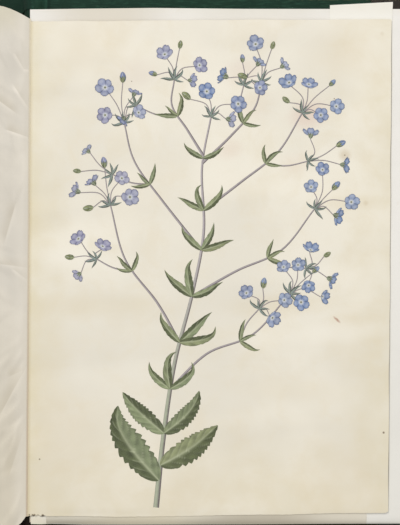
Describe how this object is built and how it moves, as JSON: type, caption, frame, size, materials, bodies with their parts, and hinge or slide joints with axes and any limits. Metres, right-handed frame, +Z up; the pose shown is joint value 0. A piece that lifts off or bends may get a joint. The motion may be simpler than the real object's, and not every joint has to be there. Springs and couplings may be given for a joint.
{
  "type": "folio album of painted plates",
  "caption": "Large half-leather album lying open at a parchment plate; its front half closes over, and the plate turns at its guard.",
  "frame": {"origin": "on the table under the fold of the spine, at mid-height of the page: the centre of the open album's footprint", "axes": "+X towards the fore-edge of the half that holds the plate, +Y towards the head of the page, +Z up"},
  "size_m": [0.7336, 0.504, 0.0329],
  "materials": {
    "green_cloth": "matte",
    "brown_leather": "satin",
    "millboard": "matte",
    "linen": "matte",
    "endpaper": "matte",
    "leaf_paper": "matte",
    "mount_paper": "matte",
    "thin_paper": "matte",
    "parchment": "satin"
  },
  "bodies": {
    "back": {"back_board": "millboard", "back_cloth": "green_cloth", "back_corner_head": "brown_leather", "back_corner_tail": "brown_leather", "back_leather": "brown_leather", "back_joint": "green_cloth", "back_tape_1": "linen", "back_tape_2": "linen", "back_tape_3": "linen", "back_tape_4": "linen", "back_tape_5": "linen", "back_pastedown": "endpaper", "back_leaves_1": "leaf_paper", "back_leaves_2": "leaf_paper", "back_leaves_3": "leaf_paper", "back_leaves_4": "leaf_paper", "back_leaves_5": "leaf_paper", "back_leaves_6": "leaf_paper", "back_leaves_7": "leaf_paper", "back_leaves_8": "leaf_paper", "mount_leaf": "mount_paper", "backing_sheet": "parchment", "head_slip": "mount_paper", "guard_lower": "linen"},
    "front": {"front_board": "millboard", "front_cloth": "green_cloth", "front_corner_head": "brown_leather", "front_corner_tail": "brown_leather", "front_leather": "brown_leather", "front_joint": "green_cloth", "front_tape_1": "linen", "front_tape_2": "linen", "front_tape_3": "linen", "front_tape_4": "linen", "front_tape_5": "linen", "front_pastedown": "endpaper", "front_leaves_1": "leaf_paper", "front_leaves_2": "leaf_paper", "front_leaves_3": "leaf_paper", "front_leaves_4": "leaf_paper", "front_leaves_5": "leaf_paper", "front_leaves_6": "leaf_paper", "front_leaves_7": "leaf_paper", "front_leaves_8": "leaf_paper", "interleaf": "thin_paper"},
    "plate": {"plate": "parchment", "guard_upper": "linen"}
  },
  "joints": [
    {"name": "album_hinge", "type": "hinge", "parent": "back", "child": "front", "pos_m": [0, 0, 0.0275], "axis": [0, 1, 0], "range_deg": [0, 180], "deforming": ["interleaf"]},
    {"name": "plate_turn", "type": "hinge", "parent": "back", "child": "plate", "pos_m": [0.0005, 0, 0.0267], "axis": [0, 1, 0], "range_deg": [-150, 0]}
  ]
}
